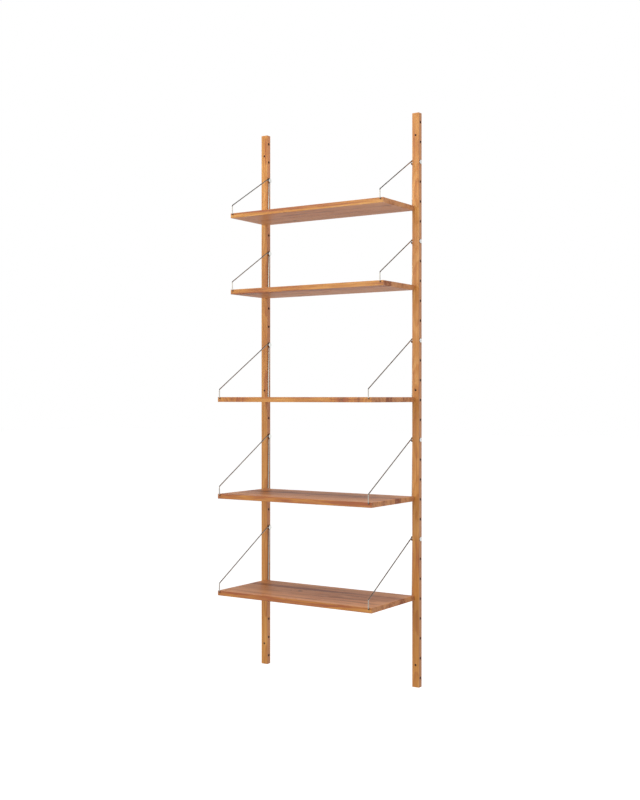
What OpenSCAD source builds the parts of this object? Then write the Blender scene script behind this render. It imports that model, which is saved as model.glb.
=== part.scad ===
// Wall-mounted rail shelf: two wooden wall rails, five wooden shelves on bent steel wires, and
// two-piece steel pins that hold the wires.
//
// Frame: +Z up, X along the wall, the front faces -Y. The wall is the plane Y = 0. The origin is on
// the wall, at the centre of the four outer wall-screw holes.
// Shelves are numbered from the top. Rail holes are numbered from the bottom.

/* [Rails] */
// Width of a rail, along the wall
rail_w = 25; // [22:1:32]
// Depth of a rail, out from the wall
rail_d = 19; // [19:1:26]
// Distance between the centre lines of the two rails
rail_spacing = 600; // [500:10:700]
// Number of pin holes in the side of each rail
hole_count = 29; // [28:1:34]
// Distance from one pin hole to the next
hole_pitch = 64; // [62:1:68]
// Distance from a rail's end to its nearest pin hole
end_margin = 30; // [20:1:60]
// Diameter of a pin hole
pin_hole_d = 7; // [7:0.5:8]
// Diameter of a wall-screw hole
screw_hole_d = 5; // [4:0.5:6]
// Distance from a rail's end to its nearest wall-screw hole
screw_inset = 72; // [70:1:80]
// Height of the middle wall-screw hole above the rail's middle
middle_screw_rise = 32; // [20:1:44]

/* [Shelves] */
// Length of a shelf, along the wall
board_w = 590; // [585:1:600]
// Thickness of a shelf
board_t = 16; // [14:1:20]
// Depth of a narrow shelf
narrow_depth = 200; // [160:5:240]
// Depth of a deep shelf
deep_depth = 270; // [240:5:290]
// Number of deep shelves, counted from the bottom
deep_shelves = 3; // [0:1:5]
// Rail hole that holds shelf 1, the top one
shelf_1_hole = 27; // [27:1:28]
// Rail hole that holds shelf 2
shelf_2_hole = 23; // [22:1:23]
// Rail hole that holds shelf 3
shelf_3_hole = 18; // [17:1:18]
// Rail hole that holds shelf 4
shelf_4_hole = 13; // [12:1:13]
// Rail hole that holds shelf 5
shelf_5_hole = 8; // [7:1:8]

/* [Wires] */
// Diameter of the wire
wire_d = 3.5; // [3:0.1:4]
// Slope of the wire's long arm below the horizontal
arm_angle = 30.4; // [26:0.1:34]
// Height of the wire's front corner above the shelf
corner_rise = 25; // [20:1:30]
// Radius of the bend in the front corner, to the wire's centre
corner_r = 6; // [5:0.5:9]
// Radius of the small bends, to the wire's centre
small_bend_r = 3.5; // [3:0.1:4.5]
// Radius of the hook round the pin, to the wire's centre
hook_r = 7.5; // [7:0.1:7.7]
// How far the hook wraps round below the pin
hook_wrap = 72; // [60:1:78]
// Depth of the wire's end in the shelf
tip_len = 12; // [8:1:20]
// Depth of the wire's end below the shelf's top face
tip_drop = 5; // [4:0.5:7]

/* [Pins] */
// Diameter of the sleeve's head
sleeve_head_d = 15; // [13:0.5:16]
// Thickness of the sleeve's head
sleeve_head_t = 2.2; // [1.5:0.1:3]
// Length of the sleeve's neck, which the hook turns on
neck_len = 4.2; // [3.9:0.1:5]
// Diameter of the screw's head
screw_head_d = 14; // [12:0.5:16]
// Thickness of the screw's head
screw_head_t = 1.8; // [1.5:0.1:2.5]
// Diameter of the screw's shank
shank_d = 4; // [3:0.5:4.5]
// Width across the flats of the screw's hexagonal socket
socket_af = 3; // [2:0.5:4]

/* [Fits] */
// Gap between the neck and the hook, on the radius
hook_clear = 0.06; // [0.03:0.01:0.1]
// Gap between a pin and its hole, and between a wire's end and its hole, on the radius
slip_clear = 0.05; // [0.02:0.01:0.1]
// Gap between a shelf and the rails
board_clear = 0.2; // [0.1:0.05:0.4]
// Radius of the eased edges of the wood
edge_r = 1; // [0.5:0.25:1.5]

/* [Hidden] */
$fn = 64;
// Overshoot of a cut past the face that it opens
cut = 1;

SHELVES = [1 : 5];
SIDES = ["left", "right"];

rail_h = 2 * end_margin + (hole_count - 1) * hole_pitch;
rail_foot = -rail_h / 2;
pin_y = -rail_d / 2;
rail_inner_x = (rail_spacing - rail_w) / 2;

// A bend is made a little thicker than the straights, which run a little way into it
wire_r = wire_d / 2;
bend_wire_r = wire_r + 0.02;
lap = 0.2;
// Straight length between the hook and the reverse bend below it
link_len = 1;

wire_x = rail_inner_x - neck_len / 2;
neck_r = hook_r - bend_wire_r - hook_clear;
sleeve_r = pin_hole_d / 2 - slip_clear;
// The sleeve stops short of the rail's outer face, so that the screw's head pulls up to the wood
sleeve_len = rail_w - 1;
shank_len = 14;
// How far the sleeve's bore goes past the screw's tip
bore_spare = 2;
socket_depth = 1.3;
bevel = 0.4;
tip_hole_r = wire_r + slip_clear;
tip_hole_depth = tip_len + 1;

// In a bracket's own plane, distances run forwards from the pin's axis and up from it.
board_back = rail_d / 2 + board_clear;
// Gap between the end of a bend and the edge of the shelf
bend_gap = 0.1;

SHELF_HOLES = [shelf_1_hole, shelf_2_hole, shelf_3_hole, shelf_4_hole, shelf_5_hole];
function pin_z(n) = rail_foot + end_margin + (SHELF_HOLES[n - 1] - 1) * hole_pitch;
function board_depth(n) = n > len(SHELF_HOLES) - deep_shelves ? deep_depth : narrow_depth;
function board_front(n) = board_back + board_depth(n);

// The wire's front upright, and the point where its centre line meets that of the sloping arm
function upright(n) = board_front(n) + bend_gap + small_bend_r;
function corner(n) = hook_r / cos(arm_angle) - upright(n) * tan(arm_angle);
function board_top(n) = corner(n) - corner_rise;

function side_sign(side) = side == "left" ? -1 : 1;
function heading(angle) = [cos(angle), sin(angle)];

// A box with its edges eased, from its low corner
module eased_box(size, r) {
    intersection() {
        translate([0, size.y, 0]) rotate([90, 0, 0])
            linear_extrude(size.y) eased_rect([size.x, size.z], r);
        rotate([90, 0, 90]) linear_extrude(size.x) eased_rect([size.y, size.z], r);
        linear_extrude(size.z) eased_rect([size.x, size.y], r);
    }
}

module eased_rect(size, r) {
    translate([r, 0]) square([size.x - 2 * r, size.y]);
    translate([0, r]) square([size.x, size.y - 2 * r]);
    for (x = [r, size.x - r], y = [r, size.y - r])
        translate([x, y]) circle(r, $fn = 32);
}

// ---- Rails ----

module rail(side) {
    color("peru")
        translate([side_sign(side) * rail_spacing / 2, 0, rail_foot])
            difference() {
                translate([-rail_w / 2, -rail_d, 0]) eased_box([rail_w, rail_d, rail_h], edge_r);
                for (k = [0 : hole_count - 1]) pin_hole(end_margin + k * hole_pitch);
                for (z = [screw_inset, rail_h / 2 + middle_screw_rise, rail_h - screw_inset])
                    wall_screw_hole(z);
            }
}

module pin_hole(z) {
    translate([-rail_w / 2 - cut, pin_y, z])
        rotate([0, 90, 0]) cylinder(h = rail_w + 2 * cut, d = pin_hole_d);
}

module wall_screw_hole(z) {
    translate([0, cut, z]) rotate([90, 0, 0]) cylinder(h = rail_d + 2 * cut, d = screw_hole_d);
}

// ---- Shelves ----

module shelf(n) {
    depth = board_depth(n);
    color("chocolate")
        translate([-board_w / 2, pin_y - board_front(n), pin_z(n) + board_top(n) - board_t])
            difference() {
                eased_box([board_w, depth, board_t], edge_r);
                for (x = [board_w / 2 - wire_x, board_w / 2 + wire_x], y = [0, depth])
                    wire_hole(x, y, y == 0 ? 1 : -1);
            }
}

// A blind hole for a wire's end, drilled from the front or back edge
module wire_hole(x, y, direction) {
    translate([x, y - direction * cut, board_t - tip_drop]) rotate([-direction * 90, 0, 0])
        cylinder(h = tip_hole_depth + cut, r = tip_hole_r);
}

// ---- Wires ----
// A wire runs from the shelf's front edge, up, back along the sloping arm, over the pin, and down
// behind the shelf into its back edge.

module bracket(n, side) {
    color("silver")
        translate([side_sign(side) * wire_x, pin_y, pin_z(n)]) rotate([90, 0, -90]) wire(n);
}

// The wire in its own plane: x is forwards from the pin, y is up
module wire(n) {
    arm = 180 - arm_angle;
    tip_y = board_top(n) - tip_drop;
    front_x = upright(n);
    corner_len = corner_r * tan((90 - arm_angle) / 2);
    hook_start = hook_r * heading(90 - arm_angle);
    corner_end = [front_x, corner(n)] + corner_len * heading(arm);

    // Front end, in the shelf
    tip([board_front(n) - tip_len, tip_y], [front_x - small_bend_r, tip_y]);
    bend([front_x - small_bend_r, tip_y + small_bend_r], small_bend_r, -90, 0);
    // Upright, front corner and sloping arm
    rod([front_x, tip_y + small_bend_r], [front_x, corner(n) - corner_len]);
    bend([front_x - corner_r, corner(n) - corner_len], corner_r, 0, 90 - arm_angle);
    rod(corner_end, hook_start);
    // Hook over the pin, and the reverse bend below it
    bend([0, 0], hook_r, 90 - arm_angle, 180 + hook_wrap);
    leg(tip_y);
}

// The leg behind the shelf. It leans forwards by the angle that lines it up with the back hole.
module leg(tip_y) {
    hook_end = hook_r * heading(180 + hook_wrap);
    link_end = hook_end + link_len * heading(270 + hook_wrap);
    reverse_at = link_end + small_bend_r * heading(180 + hook_wrap);
    foot_at = [board_back - bend_gap, tip_y + small_bend_r];
    span = foot_at - reverse_at;
    // The line touches both bend circles, which lie on opposite sides of it
    lean = atan2(span.x, -span.y) - asin(2 * small_bend_r / norm(span));
    leg_top = reverse_at + small_bend_r * heading(lean);
    leg_foot = foot_at - small_bend_r * heading(lean);

    rod(hook_end, link_end);
    bend(reverse_at, small_bend_r, lean, hook_wrap);
    rod(leg_top, leg_foot);
    bend(foot_at, small_bend_r, 180 + lean, 270);
    tip([board_back + tip_len, tip_y], [foot_at.x, tip_y]);
}

// A straight length of wire between the ends of two bends
module rod(from, to) {
    way = to - from;
    translate([from.x, from.y, 0]) rotate([0, 0, atan2(way.y, way.x)]) rotate([0, 90, 0])
        translate([0, 0, -lap]) cylinder(h = norm(way) + 2 * lap, r = wire_r);
}

// A straight length of wire from its free end to the end of a bend
module tip(from, to) {
    way = to - from;
    translate([from.x, from.y, 0]) rotate([0, 0, atan2(way.y, way.x)]) rotate([0, 90, 0])
        cylinder(h = norm(way) + lap, r = wire_r);
}

// A bend of the wire round a centre, from one bearing to another
module bend(centre, r, from, to) {
    translate([centre.x, centre.y, 0]) rotate([0, 0, from])
        rotate_extrude(angle = to - from) translate([r, 0]) circle(bend_wire_r);
}

// ---- Pins ----
// A pin's own axis runs outwards, from its head beside the shelf to the rail's outer face.

module on_pin_axis(n, side) {
    translate([side_sign(side) * rail_inner_x, pin_y, pin_z(n)])
        rotate([0, side_sign(side) * 90, 0]) children();
}

module pin_sleeve(n, side) {
    face_z = -neck_len - sleeve_head_t;
    bore_len = shank_len + bore_spare;
    color("gainsboro") on_pin_axis(n, side) difference() {
        rotate_extrude() polygon([
            [0, face_z],
            [sleeve_head_d / 2 - bevel, face_z],
            [sleeve_head_d / 2, face_z + bevel],
            [sleeve_head_d / 2, -neck_len - bevel],
            [sleeve_head_d / 2 - bevel, -neck_len],
            [neck_r, -neck_len],
            [neck_r, 0],
            [sleeve_r, 0],
            [sleeve_r, sleeve_len],
            [0, sleeve_len]
        ]);
        translate([0, 0, sleeve_len - bore_len])
            cylinder(h = bore_len + cut, r = shank_d / 2 + slip_clear);
    }
}

module pin_screw(n, side) {
    tip_z = sleeve_len - shank_len;
    face_z = rail_w + screw_head_t;
    color("gainsboro") on_pin_axis(n, side) difference() {
        rotate_extrude() polygon([
            [0, tip_z],
            [shank_d / 2 - bevel, tip_z],
            [shank_d / 2, tip_z + bevel],
            [shank_d / 2, rail_w],
            [screw_head_d / 2 - bevel, rail_w],
            [screw_head_d / 2, rail_w + bevel],
            [screw_head_d / 2, face_z - bevel],
            [screw_head_d / 2 - bevel, face_z],
            [0, face_z]
        ]);
        translate([0, 0, face_z - socket_depth])
            cylinder(h = socket_depth + cut, d = socket_af / cos(30), $fn = 6);
    }
}

for (side = SIDES)
    rail(side);
for (n = SHELVES)
    shelf(n);
for (n = SHELVES, side = SIDES)
    bracket(n, side);
for (n = SHELVES, side = SIDES)
    pin_sleeve(n, side);
for (n = SHELVES, side = SIDES)
    pin_screw(n, side);
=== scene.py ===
"""Looks of the wall-mounted rail shelf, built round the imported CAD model.

Every CAD node is shown as it is. This script gives it its wood or steel, and adds the floor, the
lights and the camera. Lengths are in metres, and in millimetres inside the material functions.
"""

import math

import bpy
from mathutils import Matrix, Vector

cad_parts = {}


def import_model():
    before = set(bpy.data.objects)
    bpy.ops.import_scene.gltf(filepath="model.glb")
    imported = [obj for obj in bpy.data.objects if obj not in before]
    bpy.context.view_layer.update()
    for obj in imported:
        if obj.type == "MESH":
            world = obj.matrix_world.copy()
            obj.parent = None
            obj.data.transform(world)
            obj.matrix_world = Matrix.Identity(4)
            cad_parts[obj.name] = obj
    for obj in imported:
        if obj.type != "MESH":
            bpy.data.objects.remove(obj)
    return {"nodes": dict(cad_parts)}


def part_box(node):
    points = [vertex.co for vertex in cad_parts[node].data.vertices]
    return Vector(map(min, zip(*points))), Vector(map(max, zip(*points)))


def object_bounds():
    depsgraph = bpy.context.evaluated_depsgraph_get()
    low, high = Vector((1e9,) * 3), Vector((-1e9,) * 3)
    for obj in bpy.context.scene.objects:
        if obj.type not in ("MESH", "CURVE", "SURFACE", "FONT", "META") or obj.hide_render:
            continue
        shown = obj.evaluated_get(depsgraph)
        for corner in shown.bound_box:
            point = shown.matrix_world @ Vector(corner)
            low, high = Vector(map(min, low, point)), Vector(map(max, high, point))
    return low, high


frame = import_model()
CAD_BOX = [list(corner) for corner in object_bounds()]

# ---- Camera ----
EYE = Vector((2.0726, -3.3123, 0.0115))
YAW = math.radians(33.29)
LENS = 52.03
SENSOR = 36.0
SHIFT = (0.0070, -0.0044)

# ---- Floor: its own glow brings it to white ----
FLOOR_DROP = 0.30
FLOOR_SIZE = 60.0
FLOOR_COLOUR = (0.30, 0.30, 0.30, 1.0)
FLOOR_GLOW = 0.93

# ---- Lights: soft boxes aimed at one point, in watts ----
LIT_POINT = Vector((0.0, -0.15, 0.0))
LIGHTS = {
    "key": dict(place=(-0.6, -4.5, 1.4), width=4.0, height=3.0, power=112.0),
    "rim": dict(place=(2.6, 3.6, 0.2), width=1.4, height=3.0, power=6.0),
    "top": dict(place=(0.3, -0.6, 3.6), width=3.0, height=3.0, power=124.0, glossy=False),
}

# ---- The studio round the object: glow overhead, and what the horizon and the ground add ----
WHITE = 1.0
DIFFUSE_GLOW = (0.20, 0.47, 0.60)
MIRRORED_GLOW = (0.05, 0.95, 0.10)
DIFFUSE_HORIZON = (0.15, 0.50)
MIRRORED_HORIZON = (0.20, 0.40)
GROUND = (0.1, 0.6)

# ---- The rails' holes, in millimetres. A rim is where the painted shade round a hole starts and ends. The holes' walls get painted shade too. ----
HOLE_PITCH = 64.0
HOLE_RADIUS = 3.5
HOLE_SHADE_RIM = (0.3, 1.9)
SCREW_RADIUS = 2.5
SCREW_SHADE_RIM = (0.3, 1.6)
SCREW_HEIGHTS = (-854.0, 32.0, 854.0)
# How far past a pin hole's radius the painted shade on its wall fades out
HOLE_WALL_SHADE_FADE = 0.2
MM = 1000.0

# ---- Colours, linear ----
HONEY = (0.68, 0.34, 0.092)
AMBER = (0.54, 0.222, 0.040)
# Pink of the painted sheen
PAINTED_SHEEN_PINK = (0.75, 0.31, 0.160)
RUSSET = (0.34, 0.092, 0.026)
# Dark brown of the knots, also used for the painted shade in and round the rails' holes
KNOT_AND_HOLE_SHADE = (0.05, 0.015, 0.006)
STEEL = (0.46, 0.43, 0.38)
NICKEL = (0.58, 0.58, 0.56)

# ---- Marks in the wood: length, width and depth in millimetres, noise detail and roughness ----
MARKS = {
    "streak": (260.0, 6.0, 6.0, 3.0, 0.6),
    "band": (420.0, 24.0, 24.0, 3.0, 0.6),
    "cloud": (80.0, 34.0, 14.0, 2.0, 0.5),
    "vein": (150.0, 3.0, 3.0, 1.0, 0.5),
    "fibre": (7.0, 0.55, 0.55, 2.0, 0.6),
    "pore": (3.0, 0.30, 0.30, 1.0, 0.5),
}

# ---- Growth rings, in millimetres ----
STAVE = 40.0
SEAM = 0.012
RING_WIDTH = (3.0, 5.0)
HEART_OFFSET = 70.0
HEART_DEPTH = 150.0
SWAY = 26.0
RIPPLE = 4.0

# ---- How a shelf and a rail differ: strength of the marks, how much painted sheen pales and pinks the faces that don't face front or back, slope of the rings ----
SHELF = dict(rail=False, band=2.4, cloud=1.1, painted_sheen=0.16, sheen_tint=0.50, slope=0.10)
RAIL = dict(rail=True, band=0.7, cloud=0.5, painted_sheen=0.0, sheen_tint=0.45, slope=0.02)

# ---- Each shelf: darker tint, front edge's own tint, and a darker stave's middle from the front ----
SHELF_LOOKS = {
    1: dict(tint=-0.06, edge_tint=0.02),
    2: dict(tint=0.0, edge_tint=0.12, dark_stave=30.0),
    3: dict(tint=0.0, edge_tint=0.26, dark_stave=107.0),
    4: dict(tint=0.0, edge_tint=0.16, dark_stave=165.0),
    5: dict(tint=0.0, edge_tint=0.22, dark_stave=192.0),
}

# ---- Knots, from a shelf's centre: along it, towards the wall, and their reach ----
KNOTS = {
    1: [(-145.0, 62.0, 7.0)],
    3: [(187.0, -141.0, 9.0), (249.0, -140.0, 7.0), (-238.0, -144.0, 11.0)],
    4: [(-10.0, -24.0, 7.0)],
    5: [(-62.0, 7.0, 8.0)],
}


class Field:
    """An output of a node tree. Arithmetic on fields adds the maths nodes that do it."""

    def __init__(self, tree, socket):
        self.tree, self.socket = tree, socket

    def maths(self, operation, *others):
        node = self.tree.nodes.new("ShaderNodeMath")
        node.operation = operation
        for slot, value in zip(node.inputs, (self, *others)):
            feed(value, slot)
        return Field(self.tree, node.outputs[0])

    def __add__(self, other):
        return self.maths("ADD", other)

    def __sub__(self, other):
        return self.maths("SUBTRACT", other)

    def __mul__(self, other):
        return self.maths("MULTIPLY", other)

    def __truediv__(self, other):
        return self.maths("DIVIDE", other)

    def __rsub__(self, other):
        return self * -1.0 + other

    __radd__, __rmul__ = __add__, __mul__

    def floor(self):
        return self.maths("FLOOR")

    def fract(self):
        return self.maths("FRACT")

    def size(self):
        return self.maths("ABSOLUTE")

    def power(self, exponent):
        return self.maths("POWER", exponent)

    def most(self, other):
        return self.maths("MAXIMUM", other)

    def ease(self, low, high):
        """0 below low, 1 above high, and a smooth rise between them."""
        node = self.tree.nodes.new("ShaderNodeMapRange")
        node.interpolation_type = "SMOOTHSTEP"
        feed(self, node.inputs["Value"])
        node.inputs["From Min"].default_value = low
        node.inputs["From Max"].default_value = high
        return Field(self.tree, node.outputs["Result"])

    def near(self, low, high):
        """1 below low, 0 above high, and a smooth fall between them."""
        return 1.0 - self.ease(low, high)


def feed(value, slot):
    if isinstance(value, Field):
        value.tree.links.new(value.socket, slot)
    else:
        slot.default_value = value


def parts_of(field):
    node = field.tree.nodes.new("ShaderNodeSeparateXYZ")
    feed(field, node.inputs[0])
    return [Field(field.tree, out) for out in node.outputs]


def point(x, y, z):
    tree = next(part.tree for part in (x, y, z) if isinstance(part, Field))
    node = tree.nodes.new("ShaderNodeCombineXYZ")
    for value, slot in zip((x, y, z), node.inputs):
        feed(value, slot)
    return Field(tree, node.outputs[0])


def length(x, y):
    return (x * x + y * y).power(0.5)


def noise(place, detail=2.0, roughness=0.5):
    """Smooth noise from about 0.2 to 0.8, with a mean of 0.5, and features one unit wide."""
    node = place.tree.nodes.new("ShaderNodeTexNoise")
    feed(place, node.inputs["Vector"])
    node.inputs["Scale"].default_value = 1.0
    node.inputs["Detail"].default_value = detail
    node.inputs["Roughness"].default_value = roughness
    return Field(place.tree, node.outputs[0])


def chance(number, salt):
    """A fixed random value from 0 to 1 for each whole number."""
    node = number.tree.nodes.new("ShaderNodeTexWhiteNoise")
    node.noise_dimensions = "1D"
    feed(number + salt, node.inputs["W"])
    return Field(number.tree, node.outputs["Value"])


def blend(amount, first, second):
    """Mixes two colours, each a field or a plain linear colour."""
    node = amount.tree.nodes.new("ShaderNodeMix")
    node.data_type = "RGBA"
    feed(amount, node.inputs["Factor"])
    for value, slot in ((first, node.inputs[6]), (second, node.inputs[7])):
        feed(value if isinstance(value, Field) else (*value, 1.0), slot)
    return Field(amount.tree, node.outputs[2])


def new_material(name):
    """A material with nothing but a Principled shader. Returns it, its tree and the shader."""
    material = bpy.data.materials.new(name)
    material.use_nodes = True
    tree = material.node_tree
    shader = tree.nodes["Principled BSDF"]
    return material, tree, shader


def coordinate(tree, kind):
    return Field(tree, tree.nodes.new("ShaderNodeTexCoord").outputs[kind])


def bump(height, distance, shader):
    """Raises the surface by height, a field, times distance in metres."""
    node = height.tree.nodes.new("ShaderNodeBump")
    node.inputs["Strength"].default_value = 1.0
    node.inputs["Distance"].default_value = distance
    feed(height, node.inputs["Height"])
    feed(Field(height.tree, node.outputs[0]), shader.inputs["Normal"])


def pin_centre():
    """The middle of one pin, on which the row of holes is centred."""
    low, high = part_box("pin_sleeve_1_left")
    return (low + high) / 2 * MM


def from_nearest_hole(z):
    """Height above the nearest hole of the row, from a height in millimetres."""
    return (((z - pin_centre().z) / HOLE_PITCH + 0.5).fract() - 0.5) * HOLE_PITCH


def staves(across, front, dark_stave):
    """The strips a shelf is glued up from: each one's number, its seams, and the dark one."""
    first = front + (dark_stave if dark_stave is not None else STAVE / 2) - STAVE / 2
    count = (across - first) / STAVE
    stave = count.floor()
    seam = ((count + 0.5).fract() - 0.5).size().near(0.0, SEAM)
    darker = stave.size().near(0.2, 0.6) if dark_stave is not None else across * 0.0
    return stave, seam, darker


def growth_rings(grain, stave, seed, knots, slope):
    """How far each point is from the heart of its stave's tree, in millimetres."""
    along, across, through = grain
    middle = across - (chance(stave, seed + 0.17) - 0.5) * HEART_OFFSET
    above = (chance(stave, seed + 0.31) - 0.5) * HEART_DEPTH
    tilt = (chance(stave, seed + 0.47) - 0.5) * slope
    sway = (noise(point(along / 300.0, stave * 7.3 + seed, 0.0), 1.0) - 0.5) * SWAY
    heart = length(middle, through + above + along * tilt + sway)
    ripple = (noise(point(along / 70.0, across / 24.0, through / 24.0 + seed)) - 0.5) * RIPPLE
    heart = heart + ripple
    for x, y, reach in knots:
        apart = length((along - x) / 1.7, across - y)
        heart = heart + apart.near(0.0, reach * 3.2) * reach * 1.5
    return heart


def mark(kind, grain, shift):
    """Noise stretched to the size of one kind of mark."""
    long, wide, deep, detail, roughness = MARKS[kind]
    along, across, through = grain
    place = point(along / long, across / wide, through / deep + shift)
    return noise(place, detail, roughness)


def painted_hole_shade(x, y, z, middle, nx):
    """Painted shade: 1 on the walls of the pin holes and wall-screw holes and on their rims."""
    bore = length(y, from_nearest_hole(z + middle * MM))
    rim = bore.near(*(HOLE_RADIUS + reach for reach in HOLE_SHADE_RIM)) * nx.ease(0.5, 0.9)
    wall = nx.near(0.05, 0.2) * bore.near(HOLE_RADIUS, HOLE_RADIUS + HOLE_WALL_SHADE_FADE)
    dark = rim.most(wall)
    for height in SCREW_HEIGHTS:
        bore = length(x, z - height)
        dark = dark.most(bore.near(*(SCREW_RADIUS + reach for reach in SCREW_SHADE_RIM)))
    return dark


def wood(name, node, make, seed, tint=0.0, edge_tint=0.0, dark_stave=None, knots=()):
    """Oiled wood with its grain along the node's length. make is SHELF or RAIL."""
    material, tree, shader = new_material(name)
    low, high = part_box(node)
    centre = (low + high) / 2
    place = parts_of(coordinate(tree, "Object"))
    x, y, z = ((value - mid) * MM for value, mid in zip(place, centre))
    nx, ny, nz = (value.size() for value in parts_of(coordinate(tree, "Normal")))
    grain = (z, x, y) if make["rail"] else (x, y, z)
    end = (nz if make["rail"] else nx).ease(0.5, 0.85)
    # Painted sheen goes on the faces that don't face front or back
    painted_sheen = ny.near(0.3, 0.8)

    if make["rail"]:
        stave = seam = darker = grain[1] * 0.0
    else:
        stave, seam, darker = staves(grain[1], (low.y - centre.y) * MM, dark_stave)

    # Each year's ring grows darker towards its end. Some years are darker than others.
    widths = RING_WIDTH[1] - RING_WIDTH[0]
    heart = growth_rings(grain, stave, seed, knots, make["slope"])
    years = heart / (chance(stave, seed + 0.73) * widths + RING_WIDTH[0])
    year = years.fract()
    late = year.ease(0.25, 0.9) * year.near(0.93, 1.0)

    streak = mark("streak", grain, seed) - 0.5
    band = mark("band", grain, seed * 2.0) - 0.5
    cloud = mark("cloud", grain, -seed) - 0.5
    vein = mark("vein", grain, -seed).ease(0.56, 0.72)
    fibre = mark("fibre", grain, seed) - 0.5
    pore = mark("pore", grain, -seed).ease(0.62, 0.72) * (1.0 - end)

    # Tone: 0 is the palest wood and 1 the darkest
    tone = 0.40 + tint + late * 0.24 + (chance(years.floor(), seed) - 0.5) * 0.24
    tone = tone + streak * 1.10 + band * make["band"] + cloud * make["cloud"] + vein * 0.30
    tone = tone + fibre * 0.30 + (chance(stave, seed + 0.9) - 0.5) * 0.24
    tone = tone + darker * 0.60 + pore * 0.10 + seam * 0.10 + end * 0.10
    # Painted sheen: those faces are made paler and pinker for the sheen they catch at a slant. The
    # front and back faces take the shelf's own edge tint.
    tone = tone - painted_sheen * make["painted_sheen"] + (1.0 - painted_sheen) * edge_tint
    colour = blend(tone.ease(0.0, 0.5), HONEY, AMBER)
    colour = blend(painted_sheen * make["sheen_tint"], colour, PAINTED_SHEEN_PINK)
    colour = blend(tone.ease(0.4, 1.15), colour, RUSSET)
    for kx, ky, reach in knots:
        apart = length((grain[0] - kx) / 1.5, grain[1] - ky) + fibre * 2.0
        colour = blend(apart.near(reach * 0.35, reach) * 0.8, colour, KNOT_AND_HOLE_SHADE)

    # Eased edges wear a little paler
    worn = nx.most(ny).most(nz).near(0.75, 0.995) * 0.12
    colour = blend(worn, colour, HONEY)
    # Painted shade in and round the rails' holes, in the knots' dark brown
    if make["rail"]:
        colour = blend(painted_hole_shade(x, y, z, centre.z, nx) * 0.92, colour, KNOT_AND_HOLE_SHADE)

    feed(colour, shader.inputs["Base Color"])
    rough = 0.42 + fibre * 0.22 + late * 0.05 + end * 0.16 + pore * 0.15
    feed(rough, shader.inputs["Roughness"])
    shader.inputs["Specular IOR Level"].default_value = 0.5
    bump(fibre * 0.35 + late * 0.25 - pore * 0.6 - seam * 0.7, 0.00012, shader)
    return material


def steel(name, turned=False):
    """Brushed stainless steel. Turned steel has fine rings round the pin's axis."""
    material, tree, shader = new_material(name)
    x, y, z = (value * MM for value in parts_of(coordinate(tree, "Object")))
    smudge = noise(point(x / 9.0, y / 9.0, z / 9.0), 3.0, 0.6)
    if turned:
        from_axis = length(y - pin_centre().y, from_nearest_hole(z))
        line = noise(point(from_axis / 0.16, x / 2.5, 0.0), 2.0, 0.7)
    else:
        line = noise(point(x / 0.12, y / 1.6, z / 1.6), 3.0, 0.7)
    base = NICKEL if turned else STEEL
    dull = [channel * 0.86 for channel in base]
    feed(blend(smudge.ease(0.3, 0.75), base, dull), shader.inputs["Base Color"])
    shader.inputs["Metallic"].default_value = 1.0
    feed(0.20 + (line - 0.5) * 0.18 + (smudge - 0.5) * 0.12, shader.inputs["Roughness"])
    bump(line, 0.00002, shader)
    return material


def dress(node, material):
    """Puts a material in every slot of a CAD node."""
    for slot in frame["nodes"][node].material_slots:
        slot.material = material


def dress_all():
    for n, look in SHELF_LOOKS.items():
        name = f"shelf_{n}"
        dress(name, wood(f"wood_{name}", name, SHELF, 11.0 * n, knots=KNOTS.get(n, ()), **look))
    for k, side in enumerate(("left", "right")):
        name = f"rail_{side}"
        dress(name, wood(f"wood_{name}", name, RAIL, 71.0 + 9.0 * k, tint=0.06))
    wire, pin = steel("steel_wire"), steel("steel_pin", turned=True)
    for name in frame["nodes"]:
        if name.startswith("bracket"):
            dress(name, wire)
        elif name.startswith("pin"):
            dress(name, pin)


def aim(thing, target):
    thing.rotation_mode = "QUATERNION"
    thing.rotation_quaternion = (target - thing.location).to_track_quat("-Z", "Y")


def soft_box(name, place, width, height, power, glossy=True):
    light = bpy.data.lights.new(name, "AREA")
    light.shape = "RECTANGLE"
    light.size, light.size_y, light.energy = width, height, power
    lamp = bpy.data.objects.new(name, light)
    bpy.context.collection.objects.link(lamp)
    lamp.location = place
    lamp.visible_glossy = glossy
    aim(lamp, LIT_POINT)


def studio_glow(z, ground, amounts, horizon):
    """Brightness of the studio in a direction, from how far up it points."""
    overhead, at_horizon, at_ground = amounts
    return overhead + z.size().near(*horizon) * at_horizon + ground * at_ground


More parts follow.
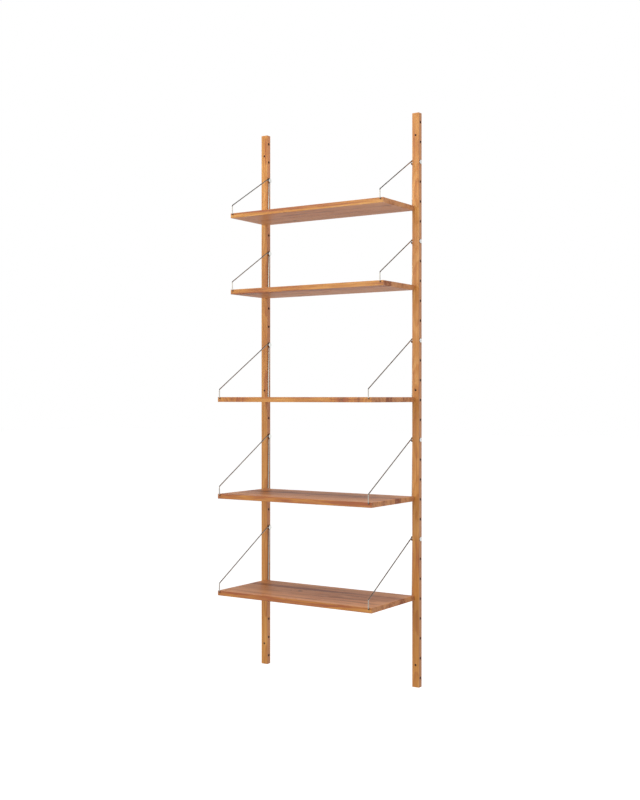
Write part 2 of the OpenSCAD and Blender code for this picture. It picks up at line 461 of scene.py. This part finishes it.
def world():
    """A studio with a bright horizon, dim overhead. Mirrored, it has more contrast.

    The camera sees it as white.
    """
    made = bpy.data.worlds.new("studio")
    bpy.context.scene.world = made
    made.use_nodes = True
    tree = made.node_tree
    back = tree.nodes["Background"]
    z = parts_of(coordinate(tree, "Generated"))[2]
    ground = (z * -1.0).ease(*GROUND)
    glow = studio_glow(z, ground, DIFFUSE_GLOW, DIFFUSE_HORIZON)
    mirrored = studio_glow(z, ground, MIRRORED_GLOW, MIRRORED_HORIZON)
    ray = tree.nodes.new("ShaderNodeLightPath").outputs
    glow = glow + Field(tree, ray["Is Glossy Ray"]) * (mirrored - glow)
    seen = Field(tree, ray["Is Camera Ray"])
    back.inputs["Color"].default_value = (1.0, 1.0, 1.0, 1.0)
    feed(glow + seen * (WHITE - glow), back.inputs["Strength"])


def stage():
    """A plain floor well under the hanging rails. It is clear from below, to show the undersides."""
    mesh = bpy.data.meshes.new("floor")
    half, z = FLOOR_SIZE / 2, CAD_BOX[0][2] - FLOOR_DROP
    corners = [(-half, -half, z), (half, -half, z), (half, half, z), (-half, half, z)]
    mesh.from_pydata(corners, [], [(0, 1, 2, 3)])
    floor = bpy.data.objects.new("floor", mesh)
    bpy.context.collection.objects.link(floor)
    material, tree, shader = new_material("floor_pale")
    shader.inputs["Base Color"].default_value = FLOOR_COLOUR
    shader.inputs["Roughness"].default_value = 0.9
    shader.inputs["Emission Color"].default_value = (1.0, 1.0, 1.0, 1.0)
    shader.inputs["Emission Strength"].default_value = FLOOR_GLOW
    from_below = Field(tree, tree.nodes.new("ShaderNodeNewGeometry").outputs["Backfacing"])
    feed(1.0 - from_below, shader.inputs["Alpha"])
    mesh.materials.append(material)
    floor.visible_diffuse = floor.visible_glossy = False


def camera():
    data = bpy.data.cameras.new("camera")
    data.lens, data.sensor_width = LENS, SENSOR
    data.shift_x, data.shift_y = SHIFT
    eye = bpy.data.objects.new("camera", data)
    bpy.context.collection.objects.link(eye)
    eye.location = EYE
    ahead = Vector((-math.sin(YAW), math.cos(YAW), 0.0))
    aim(eye, EYE + ahead)
    bpy.context.scene.camera = eye


dress_all()
stage()
world()
for title, box in LIGHTS.items():
    soft_box(title, **box)
camera()
bpy.context.scene.view_settings.view_transform = "Standard"
